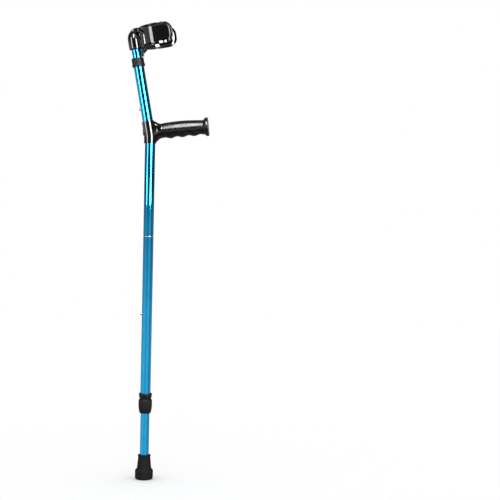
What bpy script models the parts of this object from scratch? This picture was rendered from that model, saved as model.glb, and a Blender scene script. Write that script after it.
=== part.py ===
"""Folding forearm crutch, standing upright on its ferrule.

The shaft is a tube bent back above the grip, over a straight main tube and a telescoping leg. The main
tube folds up behind the upper tube, on an elastic cord that passes through a short nose. The cuff slides on
its own tube.

Frame: metres, origin at the middle of the ferrule's flat base, +Z up the shaft, +X the way the grip points,
and +Y to the left. The crutch is symmetric about Y = 0.
"""

from math import cos, pi, radians, sin, sqrt, tan

import bmesh
import bpy
from mathutils import Matrix, Vector

# Driving dimensions
GAP = 0.0003
SIDES = 24
HOLE_SIDES = 12

TUBE_RADIUS = 0.0110
TUBE_BORE = 0.0099
INNER_RADIUS = 0.0096
INNER_BORE = 0.0085
CLEAR_RADIUS = TUBE_RADIUS + GAP
HOLE_PITCH = 0.0254
HOLE_RADIUS = 0.0032

SEAM_Z = 0.5260
BEND_Z = 0.7400
BEND_RADIUS = 0.0700
FOREARM_TILT = radians(10.5)
UPPER_TUBE_END = 0.1600
PIVOT_X = -0.0114

LOWER_TUBE_END = 0.1523
LOWEST_HOLE_Z = 0.2060
LOWER_HOLES = 10
LEG_BUTTON_Z = LOWEST_HOLE_Z + 6 * HOLE_PITCH
LEG_LOW = 0.0068
LEG_TOP = 0.3950

CUFF_TUBE_LOW = 0.0420
CUFF_TUBE_TOP = 0.2180
CUFF_BUTTON = 0.0594
UPPER_HOLES = 4

GRIP_Z = 0.7490
GRIP_TILT = radians(6.3)
GRIP_START = 0.0273
GRIP_NECK = 0.1138
GRIP_END = 0.1248
CAP_SEAT = 0.1220
SLEEVE_LOW_Z = 0.7242
SLEEVE_HIGH = 0.0322
SLEEVE_RADIUS = 0.0132
STEM_RADIUS = 0.0100
STEM_BORE = 0.0065
NUT_SEAT = 0.0300
BOLT_RADIUS = 0.0030

CUFF_CENTRE_X = 0.0575
CUFF_INSIDE = 0.0410
CUFF_WALL = 0.0030
CUFF_MIDDLE = 0.2075
CUFF_HALF_HEIGHT = 0.0228
CUFF_SCREW = 0.2070
CUFF_SCREW_RADIUS = 0.0025

CORD_RADIUS = 0.0024
CORD_BORE = 0.0033
UPPER_PIN_Z = 0.5720
LOWER_PIN_Z = 0.4980
PIN_RADIUS = 0.0015

BUTTON_RADIUS = 0.0029
BUTTON_TIP = 0.0140


def clear_scene():
    for item in list(bpy.data.objects):
        bpy.data.objects.remove(item)


def finish(name, colour, metallic, roughness):
    """A Principled material in linear colour."""
    made = bpy.data.materials.new(name)
    made.use_nodes = True
    shader = made.node_tree.nodes["Principled BSDF"]
    shader.inputs["Base Color"].default_value = (*colour, 1.0)
    shader.inputs["Metallic"].default_value = metallic
    shader.inputs["Roughness"].default_value = roughness
    return made


def frame_at(name, place, tilt=0.0):
    """An empty at a joint or at the start of a sloping part, turned about Y by minus the tilt."""
    empty = bpy.data.objects.new(name, None)
    empty.empty_display_size = 0.02
    empty.location = place
    empty.rotation_euler = (0.0, -tilt, 0.0)
    bpy.context.scene.collection.objects.link(empty)
    return empty


def placed(name, shape, parent=None):
    """An object from a bmesh drawn in its parent's frame."""
    mesh = bpy.data.meshes.new(name)
    shape.to_mesh(mesh)
    shape.free()
    made = bpy.data.objects.new(name, mesh)
    made.parent = parent
    bpy.context.scene.collection.objects.link(made)
    return made


def piece(name, shape, material, parent=None):
    """A sub-part with its material, shaded smooth between its edges."""
    made = placed(name, shape, parent)
    made.data.materials.append(material)
    made.data.shade_smooth()
    made.data.set_sharp_from_angle(angle=radians(35))
    return made


def combine(target, name, shape, operation, parent=None):
    """Cuts a helper shape from the target, or joins it on."""
    helper = placed(name, shape, parent)
    helper.hide_render = True
    helper.display_type = "WIRE"
    boolean = target.modifiers.new(name, "BOOLEAN")
    boolean.operation = operation
    boolean.object = helper


def loft(rings, loop=False):
    """A skin over rings of equal length, with the last ring joined to the first or both ends capped."""
    shape = bmesh.new()
    skins = [[shape.verts.new(point) for point in ring] for ring in rings]
    pairs = list(zip(skins, skins[1:]))
    if loop:
        pairs.append((skins[-1], skins[0]))
    else:
        shape.faces.new(skins[0])
        shape.faces.new(skins[-1])
    count = len(rings[0])
    for low, high in pairs:
        for i in range(count):
            j = (i + 1) % count
            shape.faces.new((low[i], low[j], high[j], high[i]))
    bmesh.ops.recalc_face_normals(shape, faces=shape.faces)
    return shape


def circle(radius, height, sides=SIDES):
    """A level ring of points about Z."""
    return [
        (radius * cos(2 * pi * i / sides), radius * sin(2 * pi * i / sides), height)
        for i in range(sides)
    ]


def turned(profile, sides=SIDES, loop=True):
    """A body turned about Z from (radius, height) points. A loop is a ring, and an open profile is capped."""
    return loft([circle(radius, height, sides) for radius, height in profile], loop)


def turned_along_x(profile, sides=SIDES, loop=True, height=0.0):
    """A body turned about a line along X, from (radius, x) points."""
    shape = turned(profile, sides, loop)
    bmesh.ops.transform(shape, matrix=Matrix.Rotation(pi / 2, 4, "Y"), verts=shape.verts)
    bmesh.ops.translate(shape, vec=(0.0, 0.0, height), verts=shape.verts)
    return shape


def rods_along_x(radius, start, end, heights, sides=HOLE_SIDES):
    """A row of round cutters along X, turned a little so that no corner meets an edge of the wall it cuts."""
    shape = bmesh.new()
    turn = Matrix.Rotation(radians(7), 4, "X") @ Matrix.Rotation(pi / 2, 4, "Y")
    for height in heights:
        place = Matrix.Translation(((start + end) / 2, 0.0, height)) @ turn
        bmesh.ops.create_cone(
            shape,
            cap_ends=True,
            segments=sides,
            radius1=radius,
            radius2=radius,
            depth=end - start,
            matrix=place,
        )
    return shape


def slab(low, high):
    """A box between two corners."""
    shape = bmesh.new()
    low, high = Vector(low), Vector(high)
    size = Matrix.Diagonal((*(high - low), 1.0))
    bmesh.ops.create_cube(shape, size=1.0, matrix=Matrix.Translation((low + high) / 2) @ size)
    return shape


def along_forearm(distance):
    """A point that far up the forearm line from the bend."""
    return Vector((-sin(FOREARM_TILT), 0.0, cos(FOREARM_TILT))) * distance + Vector((0.0, 0.0, BEND_Z))


def shaft(low_z, high):
    """Centres and tilts along the bent shaft, from a height below the bend to a distance above it."""
    reach = BEND_RADIUS * tan(FOREARM_TILT / 2)
    steps = 5
    arc = []
    for i in range(steps + 1):
        tilt = FOREARM_TILT * i / steps
        place = Vector((BEND_RADIUS * (cos(tilt) - 1), 0.0, BEND_Z - reach + BEND_RADIUS * sin(tilt)))
        arc.append((place, tilt))
    return [(Vector((0.0, 0.0, low_z)), 0.0), *arc, (along_forearm(high), FOREARM_TILT)]


def swept(section, stations):
    """Rings of a flat (forward, left) section, carried square to the shaft through its stations."""
    return [
        [centre + Vector((cos(tilt) * x, y, sin(tilt) * x)) for x, y in section]
        for centre, tilt in stations
    ]


def round_section(radius, first=0.0, last=2 * pi, count=SIDES):
    """Points of an arc in the (forward, left) plane."""
    return [
        (radius * cos(first + (last - first) * i / count), radius * sin(first + (last - first) * i / count))
        for i in range(count if last - first > 2 * pi - 0.001 else count + 1)
    ]


def half_sleeve(middle):
    """Half of the grip's clamp, wrapped on the shaft about a direction, with a thin seam at both sides."""
    seam = radians(1.2)
    first, last = middle - pi / 2 + seam, middle + pi / 2 - seam
    outer = round_section(SLEEVE_RADIUS, first, last, 12)
    inner = round_section(CLEAR_RADIUS, first, last, 12)
    return loft(swept(outer + inner[::-1], shaft(SLEEVE_LOW_Z, SLEEVE_HIGH)))


def shaft_clearance():
    """The room that the shaft takes through the clamp."""
    return loft(swept(round_section(CLEAR_RADIUS), shaft(SLEEVE_LOW_Z - 0.02, SLEEVE_HIGH + 0.03)))


def oval(x, up, down, half_width, sides=SIDES):
    """A ring square to X, with its own reach above and below the axis."""
    ring = []
    for i in range(sides):
        angle = 2 * pi * i / sides
        reach = up if sin(angle) > 0 else down
        ring.append((x, half_width * cos(angle), reach * sin(angle)))
    return ring


def hexagon_nut(radius, bore, start, end, height=0.0):
    """A nut about a line along X."""
    outer = [(radius, start), (radius, end)]
    inner = [(bore, end), (bore, start)]
    rings = [circle(size, x, 6) for size, x in outer]
    rings += [circle(size, x, 6) for size, x in inner]
    shape = loft(rings, loop=True)
    bmesh.ops.transform(shape, matrix=Matrix.Rotation(pi / 2, 4, "Y"), verts=shape.verts)
    bmesh.ops.translate(shape, vec=(0.0, 0.0, height), verts=shape.verts)
    return shape


# Finishes
BLUE = finish("blue_anodised_aluminium", (0.004, 0.240, 0.560), 1.0, 0.22)
GLOSS_BLACK = finish("gloss_black_plastic", (0.010, 0.010, 0.011), 0.0, 0.18)
MATT_BLACK = finish("matt_black_plastic", (0.016, 0.016, 0.017), 0.0, 0.55)
SOFT_GRIP = finish("soft_grip_plastic", (0.014, 0.014, 0.015), 0.0, 0.38)
GREY_CAP = finish("grey_cap_plastic", (0.110, 0.112, 0.116), 0.0, 0.35)
RUBBER = finish("black_rubber", (0.012, 0.012, 0.012), 0.0, 0.80)
BRIGHT_STEEL = finish("bright_steel", (0.620, 0.620, 0.600), 1.0, 0.20)
BRIGHT_ALUMINIUM = finish("bright_aluminium", (0.740, 0.750, 0.740), 1.0, 0.28)
ELASTIC = finish("black_elastic_cord", (0.015, 0.015, 0.015), 0.0, 0.75)


def build_upper_tube(root, forearm, grip_frame):
    """The bent tube: one skin outside and one inside, with a row of button holes in its back."""
    stations = shaft(SEAM_Z + GAP, UPPER_TUBE_END)
    outside = swept(round_section(TUBE_RADIUS), stations)
    inside = swept(round_section(TUBE_BORE), stations)
    tube = piece("upper_tube", loft(outside + inside[::-1], loop=True), BLUE, root)
    heights = [CUFF_BUTTON + HOLE_PITCH * k for k in range(UPPER_HOLES)]
    button_holes = rods_along_x(HOLE_RADIUS, -0.014, -0.007, heights)
    bolt_way = rods_along_x(BOLT_RADIUS + GAP, -0.016, 0.016, [0.0])
    combine(tube, "upper_button_holes", button_holes, "DIFFERENCE", forearm)
    combine(tube, "bolt_way", bolt_way, "DIFFERENCE", grip_frame)


def build_upper_collar(forearm):
    """The guide ring over the end of the upper tube, with a lip that the cuff tube slides through."""
    low, high, step = 0.1490, 0.1680, UPPER_TUBE_END + GAP
    profile = [
        (0.0134, low), (0.0137, low + 0.003), (0.0131, low + 0.0065), (0.0130, high - 0.002),
        (0.0122, high), (TUBE_BORE, high), (TUBE_BORE, step), (CLEAR_RADIUS, step), (CLEAR_RADIUS, low),
    ]
    piece("upper_collar", turned(profile), MATT_BLACK, forearm)


def build_clamp(root, grip_frame):
    """The grip's bracket, the shell behind the shaft, and the bolt and nut that draw them together."""
    root_rings = [
        oval(0.0040, 0.0215, 0.0225, 0.0090),
        oval(0.0120, 0.0215, 0.0225, 0.0110),
        oval(0.0150, 0.0195, 0.0205, 0.0118),
        oval(0.0190, 0.0170, 0.0175, 0.0128),
        oval(0.0230, 0.0157, 0.0160, 0.0137),
        oval(GRIP_START - GAP, 0.0153, 0.0155, 0.0140),
        oval(GRIP_START - GAP, STEM_RADIUS, STEM_RADIUS, STEM_RADIUS),
        oval(0.1198, STEM_RADIUS, STEM_RADIUS, STEM_RADIUS),
    ]
    bracket = piece("handle_bracket", loft(root_rings), GLOSS_BLACK, grip_frame)
    combine(bracket, "front_sleeve", half_sleeve(0.0), "UNION", root)
    combine(bracket, "shaft_room_front", shaft_clearance(), "DIFFERENCE", root)
    bolt_way = rods_along_x(BOLT_RADIUS + GAP, 0.005, 0.034, [0.0])
    stem_bore = rods_along_x(STEM_BORE, NUT_SEAT, 0.130, [0.0], 16)
    combine(bracket, "bracket_bolt_way", bolt_way, "DIFFERENCE", grip_frame)
    combine(bracket, "stem_bore", stem_bore, "DIFFERENCE", grip_frame)

    boss_profile = [(0.0085, -0.0100), (0.0085, -0.0142), (0.0078, -0.0152), (0.0068, -0.0156)]
    shell = piece("clamp_shell", half_sleeve(pi), GLOSS_BLACK, root)
    combine(shell, "clamp_boss", turned_along_x(boss_profile, loop=False), "UNION", grip_frame)
    combine(shell, "shaft_room_back", shaft_clearance(), "DIFFERENCE", root)
    shell_bolt_way = rods_along_x(BOLT_RADIUS + GAP, -0.030, -0.005, [0.0])
    head_recess = rods_along_x(0.0056, -0.030, -0.0133, [0.0], 16)
    combine(shell, "shell_bolt_way", shell_bolt_way, "DIFFERENCE", grip_frame)
    combine(shell, "head_recess", head_recess, "DIFFERENCE", grip_frame)

    bolt_profile = [
        (0.0022, -0.0142), (0.0022, -0.0154), (0.0042, -0.0154), (0.0051, -0.0148),
        (0.0051, -0.0136), (BOLT_RADIUS, -0.0136), (BOLT_RADIUS, 0.0375),
    ]
    piece("clamp_bolt", turned_along_x(bolt_profile, HOLE_SIDES, loop=False), BRIGHT_STEEL, grip_frame)
    nut = hexagon_nut(0.0060, BOLT_RADIUS + 0.0007, NUT_SEAT + GAP, NUT_SEAT + 0.0050)
    piece("clamp_nut", nut, BRIGHT_STEEL, grip_frame)


def grip_reach(x):
    """How far the grip reaches above and below its axis, and to each side, at a place along it."""
    finger = 0.0254
    along = (x - GRIP_START) / (GRIP_NECK - GRIP_START)
    swell = sin(pi * along)
    up = 0.0160 + 0.0022 * swell - 0.0010 * along
    down = 0.0165 + 0.0014 * cos(2 * pi * (x - 0.0430) / finger) - 0.0006 * along
    side = 0.0140 + 0.0012 * swell
    return up, down, side


def build_grip(grip_frame):
    """The grip slides over the bracket's stem, with finger grooves below and a cap in its end flange."""
    steps = 22
    rings = []
    for i in range(steps + 1):
        x = GRIP_START + (GRIP_NECK - GRIP_START) * i / steps
        rings.append(oval(x, *grip_reach(x)))
    flange = [(0.1163, 0.0168), (0.1188, 0.0196), (0.1203, 0.0200), (0.1238, 0.0200), (GRIP_END, 0.0190)]
    seat = [
        (GRIP_END, 0.0168), (CAP_SEAT, 0.0168),
        (CAP_SEAT, STEM_RADIUS + GAP), (GRIP_START, STEM_RADIUS + GAP),
    ]
    rings += [oval(x, radius, radius, radius) for x, radius in flange + seat]
    piece("grip_sleeve", loft(rings, loop=True), SOFT_GRIP, grip_frame)

    cap_profile = [
        (0.0060, 0.1078), (0.0060, CAP_SEAT + GAP),
        (0.0164, CAP_SEAT + GAP), (0.0164, 0.1236), (0.0155, 0.1244),
    ]
    piece("grip_end_cap", turned_along_x(cap_profile, loop=False), GREY_CAP, grip_frame)


def build_cuff_tube(forearm):
    tube_profile = [
        (INNER_RADIUS, CUFF_TUBE_LOW), (INNER_RADIUS, CUFF_TUBE_TOP),
        (INNER_BORE, CUFF_TUBE_TOP), (INNER_BORE, CUFF_TUBE_LOW),
    ]
    tube = piece("cuff_tube", turned(tube_profile), BLUE, forearm)
    button_hole = rods_along_x(HOLE_RADIUS, -0.012, -0.006, [CUFF_BUTTON])
    screw_hole = rods_along_x(CUFF_SCREW_RADIUS + GAP, 0.006, 0.012, [CUFF_SCREW])
    combine(tube, "cuff_button_hole", button_hole, "DIFFERENCE", forearm)
    combine(tube, "cuff_screw_hole", screw_hole, "DIFFERENCE", forearm)


def saddle():
    """The curved plate that the cuff's back lies on, lowest in the middle where the strut comes up."""
    spread = radians(45)
    steps = 12
    inner = CUFF_INSIDE + CUFF_WALL + GAP
    outer = inner + 0.0032
    rings = []
    for i in range(steps + 1):
        angle = spread * (2 * i / steps - 1)
        share = (angle / spread) ** 2
        low, high = 0.1732 + 0.0170 * share, 0.2305 - 0.0165 * share
        ring = []
        for radius, height in ((inner, low), (outer, low), (outer, high), (inner, high)):
            ring.append((CUFF_CENTRE_X - radius * cos(angle), radius * sin(angle), height))
        rings.append(ring)
    return loft(rings)


def crown():
    """The top of the socket, which climbs forward from the dome to the saddle and widens on the way."""
    low, ease = 0.2200, 0.0025
    rings = []
    for x in (-0.0045, -0.0010, 0.0025, 0.0060, 0.0122):
        share = min((x + 0.0045) / 0.0100, 1.0)
        width = 0.0035 + 0.0060 * sqrt((x + 0.0045) / 0.0167)
        top = 0.2312 - 0.0050 * (1 - share) ** 2
        half = [(width, low), (width, top - ease), (width - ease, top)]
        rings.append([(x, y, z) for y, z in half] + [(x, -y, z) for y, z in half[::-1]])
    return loft(rings)


def build_cuff_bracket(forearm):
    """A domed socket on the cuff tube, with a saddle for the cuff and a strut down the tube's front."""
    socket_profile = [
        (0.0030, 0.2275), (0.0060, 0.2258), (0.0098, 0.2216), (0.0122, 0.2172), (0.0138, 0.2120),
        (0.0142, 0.2060), (0.0142, 0.1885), (0.0132, 0.1857), (TUBE_BORE, 0.1857),
        (TUBE_BORE, CUFF_TUBE_TOP + GAP),
    ]
    bracket = piece("cuff_bracket", turned(socket_profile, loop=False), GLOSS_BLACK, forearm)
    room_radius = CUFF_INSIDE + CUFF_WALL + GAP + 0.0012
    cuff_room = turned([(room_radius, 0.1700), (room_radius, 0.2500)], 72, loop=False)
    bmesh.ops.translate(cuff_room, vec=(CUFF_CENTRE_X, 0.0, 0.0), verts=cuff_room.verts)
    strut = slab((0.0102, -0.0060, 0.1688), (0.0150, 0.0060, 0.1765))
    strut_top = slab((0.0106, -0.0065, 0.1755), (0.0118, 0.0065, 0.1912))
    combine(bracket, "cuff_room", cuff_room, "DIFFERENCE", forearm)
    combine(bracket, "crown", crown(), "UNION", forearm)
    combine(bracket, "saddle", saddle(), "UNION", forearm)
    combine(bracket, "strut_top", strut_top, "UNION", forearm)
    combine(bracket, "strut", strut, "UNION", forearm)
    way = rods_along_x(CUFF_SCREW_RADIUS + GAP, 0.006, 0.020, [CUFF_SCREW])
    combine(bracket, "bracket_screw_hole", way, "DIFFERENCE", forearm)


def cuff_line():
    """The cuff's middle line from above, back to arm's end, as (point, outward, length to the end)."""
    middle = CUFF_INSIDE + CUFF_WALL / 2
    turn, flare, flare_radius = radians(100), radians(45), 0.0300
    line = []
    for i in range(11):
        angle = turn * i / 10
        outward = Vector((-cos(angle), sin(angle)))
        line.append((Vector((CUFF_CENTRE_X, 0.0)) + outward * middle, outward, middle * (turn - angle)))
    corner, outward, _ = line[-1]
    forward = Vector((outward.y, -outward.x))
    for i in range(1, 9):
        angle = flare * i / 8
        place = corner + forward * flare_radius * sin(angle) + outward * flare_radius * (1 - cos(angle))
        facing = outward * cos(angle) - forward * sin(angle)
        line.append((place, facing, flare_radius * (flare - angle)))
    whole = flare_radius * flare
    return [(place, facing, left if i > 10 else left + whole) for i, (place, facing, left) in enumerate(line)]


def build_cuff(forearm):
    """A thin open ring for the forearm. Its arms flare outward and end in round corners."""
    corner = 0.0200
    half = cuff_line()
    mirrored = [
        (Vector((place.x, -place.y)), Vector((facing.x, -facing.y)), left)
        for place, facing, left in half[:0:-1]
    ]
    rings = []
    for place, facing, left in mirrored + half:
        cut = corner - min(left, corner)
        height = CUFF_HALF_HEIGHT - corner + sqrt(corner**2 - cut**2)
        inner, outer = place - facing * CUFF_WALL / 2, place + facing * CUFF_WALL / 2
        rings.append([
            (*inner, CUFF_MIDDLE - height), (*outer, CUFF_MIDDLE - height),
            (*outer, CUFF_MIDDLE + height), (*inner, CUFF_MIDDLE + height),
        ])
    cuff = piece("cuff", loft(rings), GLOSS_BLACK, forearm)
    hole = rods_along_x(CUFF_SCREW_RADIUS + GAP, 0.010, 0.020, [CUFF_SCREW])
    combine(cuff, "cuff_hole", hole, "DIFFERENCE", forearm)

    seat = CUFF_CENTRE_X - CUFF_INSIDE + 0.0008
    screw_profile = [
        (CUFF_SCREW_RADIUS, 0.0022), (CUFF_SCREW_RADIUS, seat), (0.0052, seat), (0.0052, seat + 0.0010),
        (0.0040, seat + 0.0020), (0.0018, seat + 0.0024),
    ]
    piece("cuff_screw", turned_along_x(screw_profile, HOLE_SIDES, False, CUFF_SCREW), BRIGHT_STEEL, forearm)
    nut = hexagon_nut(0.0045, CUFF_SCREW_RADIUS + 0.0006, 0.0032, 0.0062, CUFF_SCREW)
    piece("cuff_nut", nut, BRIGHT_STEEL, forearm)


def build_snap_clip(name, parent, height, way):
    """A bent spring strip inside a tube, with a button pressed out at its end through the back's holes.

    The strip runs away from the button along the wall, turns round, and comes back along the wall opposite.
    """
    reach, thickness, half_width, length = 0.0071, 0.0008, 0.0030, 0.0220
    bend = height + way * length
    line = [((-reach, height - way * 0.0045), (-1.0, 0.0)), ((-reach, bend), (-1.0, 0.0))]
    for i in range(1, 8):
        angle = pi * i / 8
        line.append(((-reach * cos(angle), bend + way * reach * sin(angle)), (-cos(angle), way * sin(angle))))
    line += [((reach, bend), (1.0, 0.0)), ((reach, height), (1.0, 0.0))]
    rings = []
    for (x, z), (out_x, out_z) in line:
        ring = []
        for side, y in ((-1, -half_width), (1, -half_width), (1, half_width), (-1, half_width)):
            offset = side * thickness / 2
            ring.append((x + out_x * offset, y, z + out_z * offset))
        rings.append(ring)
    clip = piece(name, loft(rings), BRIGHT_STEEL, parent)
    dome = [
        (BUTTON_RADIUS, -reach), (BUTTON_RADIUS, 0.0018 - BUTTON_TIP), (0.0024, 0.0007 - BUTTON_TIP),
        (0.0012, -BUTTON_TIP),
    ]
    combine(clip, name + "_dome", turned_along_x(dome, HOLE_SIDES, False, height), "UNION", parent)


def build_fold_joint(root, link, lower):
    """The bright nose that seats the main tube, the elastic cord through it, and the cord's two pins."""
    shoulder = SEAM_Z
    spread = 0.0630
    nose_profile = [
        (CORD_BORE, 0.5055), (0.0088, 0.5055), (0.0095, 0.5065), (0.0095, shoulder - 0.0012),
        (0.0109, shoulder - 0.0012), (0.0109, shoulder), (0.0097, shoulder),
    ]
    for reach in (0.0040, 0.0075, 0.0105, 0.0130, 0.0150, 0.0165, 0.0175):
        nose_profile.append((0.0097 - reach**2 / spread, shoulder + reach))
    nose_profile += [
        (0.0044, shoulder + 0.0180), (0.0039, shoulder + 0.0178), (CORD_BORE, shoulder + 0.0160),
    ]
    piece("joint_nose", turned(nose_profile), BRIGHT_ALUMINIUM, lower)

    upper_end, lower_end = UPPER_PIN_Z - PIN_RADIUS - GAP, LOWER_PIN_Z + PIN_RADIUS + GAP
    halves = (
        ("cord_upper_half", root, SEAM_Z + GAP / 2, upper_end),
        ("cord_lower_half", link, lower_end, SEAM_Z - GAP / 2),
    )
    for name, body, low, high in halves:
        piece(name, turned([(CORD_RADIUS, low), (CORD_RADIUS, high)], 10, loop=False), ELASTIC, body)
    pins = (("upper_anchor_pin", root, UPPER_PIN_Z), ("lower_anchor_pin", lower, LOWER_PIN_Z))
    for name, body, height in pins:
        pin = turned([(PIN_RADIUS, -0.0094), (PIN_RADIUS, 0.0094)], HOLE_SIDES, loop=False)
        bmesh.ops.transform(pin, matrix=Matrix.Rotation(pi / 2, 4, "X"), verts=pin.verts)
        bmesh.ops.translate(pin, vec=(0.0, 0.0, height), verts=pin.verts)
        piece(name, pin, BRIGHT_STEEL, body)


def build_lower_tube(lower):
    """The straight main tube, with the row of height holes down its back."""
    top = SEAM_Z - 0.0015
    profile = [
        (TUBE_RADIUS, LOWER_TUBE_END), (TUBE_RADIUS, top), (TUBE_BORE, top), (TUBE_BORE, LOWER_TUBE_END),
    ]
    tube = piece("lower_tube", turned(profile), BLUE, lower)
    heights = [LOWEST_HOLE_Z + HOLE_PITCH * k for k in range(LOWER_HOLES)]
    combine(tube, "height_holes", rods_along_x(HOLE_RADIUS, -0.014, -0.007, heights), "DIFFERENCE")


def build_height_lock(lower, nut_frame):
    """The slotted collet on the main tube's end, and the ribbed nut that squeezes it on the leg."""
    step = LOWER_TUBE_END - GAP
    collet_profile = [
        (CLEAR_RADIUS, 0.1870), (0.0134, 0.1870), (0.0142, 0.1855), (0.0140, 0.1815), (0.0128, 0.1765),
        (0.0124, 0.1745), (0.0124, 0.1530), (0.0112, 0.1492), (TUBE_BORE, 0.1492), (TUBE_BORE, step),
        (CLEAR_RADIUS, step),
    ]
    collet = piece("collet", turned(collet_profile), MATT_BLACK, lower)
    combine(collet, "slot_across", slab((-0.0006, -0.02, 0.1450), (0.0006, 0.02, 0.1640)), "DIFFERENCE")
    combine(collet, "slot_along", slab((-0.02, -0.0006, 0.1450), (0.02, 0.0006, 0.1640)), "DIFFERENCE")

    ribs, rib_depth = 24, 0.0007
    outside = [
        (0.0136, 0.1735), (0.0146, 0.1705), (0.0148, 0.1625),
        (0.0143, 0.1545), (0.0128, 0.1470), (0.0117, 0.1435),
    ]
    inside = [(0.0102, 0.1435), (0.0102, 0.1455), (0.0129, 0.1495), (0.0129, 0.1735)]
    rings = []
    for radius, height in outside:
        ring = []
        for i in range(2 * ribs):
            angle = pi * i / ribs
            size = radius - (rib_depth if i % 2 and radius > 0.0125 and height < 0.1735 else 0.0)
            ring.append((size * cos(angle), size * sin(angle), height))
        rings.append(ring)
    rings += [circle(radius, height, 2 * ribs) for radius, height in inside]
    piece("lower_lock_nut", loft(rings, loop=True), MATT_BLACK, nut_frame)


def build_leg(leg):
    """The telescoping leg, its rubber ferrule, and the steel washer in the ferrule's floor."""
    profile = [
        (INNER_RADIUS, LEG_LOW), (INNER_RADIUS, LEG_TOP), (INNER_BORE, LEG_TOP), (INNER_BORE, LEG_LOW),
    ]
    tube = piece("leg_tube", turned(profile), BLUE, leg)
    button_hole = rods_along_x(HOLE_RADIUS, -0.012, -0.006, [LEG_BUTTON_Z])
    combine(tube, "leg_button_hole", button_hole, "DIFFERENCE", leg)

    ferrule_profile = [
        (0.0170, 0.0000), (0.0188, 0.0018), (0.0195, 0.0050), (0.0195, 0.0100), (0.0188, 0.0110),
        (0.0195, 0.0120), (0.0195, 0.0185), (0.0183, 0.0213), (0.0157, 0.0228), (0.0148, 0.0310),
        (0.0135, 0.0450), (0.0130, 0.0488), (0.0138, 0.0498), (0.0138, 0.0524), (0.0132, 0.0530),
        (TUBE_BORE, 0.0530), (TUBE_BORE, 0.0050),
    ]
    piece("ferrule", turned(ferrule_profile, loop=False), RUBBER, leg)
    washer = [(0.0030, 0.0053), (0.0094, 0.0053), (0.0094, 0.0065), (0.0030, 0.0065)]
    piece("ferrule_washer", turned(washer), BRIGHT_STEEL, leg)


clear_scene()
upper_section = frame_at("upper_section", (0.0, 0.0, 0.0))
cuff_section = frame_at("cuff_section", (0.0, 0.0, BEND_Z), FOREARM_TILT)
grip_line = frame_at("grip_line", (0.0, 0.0, GRIP_Z), GRIP_TILT)
fold_axis = frame_at("fold_axis", (PIVOT_X, 0.0, SEAM_Z))
lower_section = frame_at("lower_section", (-PIVOT_X, 0.0, -SEAM_Z))
lower_section.parent = fold_axis
lock_nut_axis = frame_at("lock_nut_axis", (0.0, 0.0, 0.0))
lock_nut_axis.parent = lower_section
leg_line = frame_at("leg_line", (0.0, 0.0, 0.0))
leg_line.parent = lower_section

build_upper_tube(upper_section, cuff_section, grip_line)
build_upper_collar(cuff_section)
build_clamp(upper_section, grip_line)
build_grip(grip_line)
build_cuff_tube(cuff_section)
build_cuff_bracket(cuff_section)
build_cuff(cuff_section)
build_snap_clip("upper_snap_clip", cuff_section, CUFF_BUTTON, 1)
build_fold_joint(upper_section, lower_section, lower_section)
build_lower_tube(lower_section)
build_height_lock(lower_section, lock_nut_axis)
build_leg(leg_line)
build_snap_clip("lower_snap_clip", leg_line, LEG_BUTTON_Z, -1)
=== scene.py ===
"""Looks for a folding forearm crutch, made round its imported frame.

Everything is in metres in the frame's own axes: +Z up the shaft, +X the way the grip points, +Y to the left.
The file follows the crutch as it is put together: the shaft's tubes, the fold, the height lock and foot, the
grip with its clamp, and the cuff.
"""

import bmesh
import bpy
import numpy as np
from mathutils import Euler, Matrix, Vector


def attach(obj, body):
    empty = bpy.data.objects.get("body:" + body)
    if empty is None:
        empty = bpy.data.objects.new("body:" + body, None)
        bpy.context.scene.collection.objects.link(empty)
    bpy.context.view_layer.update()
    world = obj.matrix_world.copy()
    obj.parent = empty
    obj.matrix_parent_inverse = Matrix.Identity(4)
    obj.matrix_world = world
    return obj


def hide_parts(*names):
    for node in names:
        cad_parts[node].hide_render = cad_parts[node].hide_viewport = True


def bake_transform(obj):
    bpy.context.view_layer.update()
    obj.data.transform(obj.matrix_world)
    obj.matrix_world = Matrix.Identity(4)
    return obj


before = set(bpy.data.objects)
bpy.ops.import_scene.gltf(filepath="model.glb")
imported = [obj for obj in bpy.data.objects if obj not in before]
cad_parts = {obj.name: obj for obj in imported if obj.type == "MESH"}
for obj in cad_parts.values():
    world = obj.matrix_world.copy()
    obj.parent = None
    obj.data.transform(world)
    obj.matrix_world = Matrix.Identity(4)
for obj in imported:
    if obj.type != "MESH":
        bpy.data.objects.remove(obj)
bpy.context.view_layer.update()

# ---- Studio --------------------------------------------------------------------------------------
# A white table in a white room, with a tall lightbox each side, one overhead, and dark panels between them.
# Only polished pieces see the panels: a tube shows pale and deep blue stripes, and plain bright blue near the
# table.

scene = bpy.context.scene
scene.view_settings.view_transform = "Standard"


def linear(colour):
    """An sRGB hex colour as linear red, green, blue and alpha, by the standard curve."""
    channels = np.array([int(colour[i : i + 2], 16) for i in (1, 3, 5)]) / 255
    curved = np.where(channels <= 0.04045, channels / 12.92, ((channels + 0.055) / 1.055) ** 2.4)
    return (*curved.tolist(), 1.0)


def add(tree, kind, settings, links=None):
    """A node of a kind. A setting names an input, by name or number, or else a property of the node. A link
    gives an input's name or number and the output that feeds it. Stops are a ramp's (position, grey or
    colour) pairs."""
    made = tree.nodes.new("ShaderNode" + kind)
    for key, value in settings.items():
        if key == "stops":
            ramp = made.color_ramp.elements
            while len(ramp) < len(value):
                ramp.new(0.5)
            for stop, (position, shade) in zip(ramp, value):
                stop.position = position
                stop.color = shade if isinstance(shade, tuple) else (shade, shade, shade, 1.0)
        elif isinstance(key, int) or key in made.inputs:
            made.inputs[key].default_value = value
        else:
            setattr(made, key, value)
    for key, source in (links or {}).items():
        tree.links.new(source, made.inputs[key])
    return made.outputs


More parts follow.
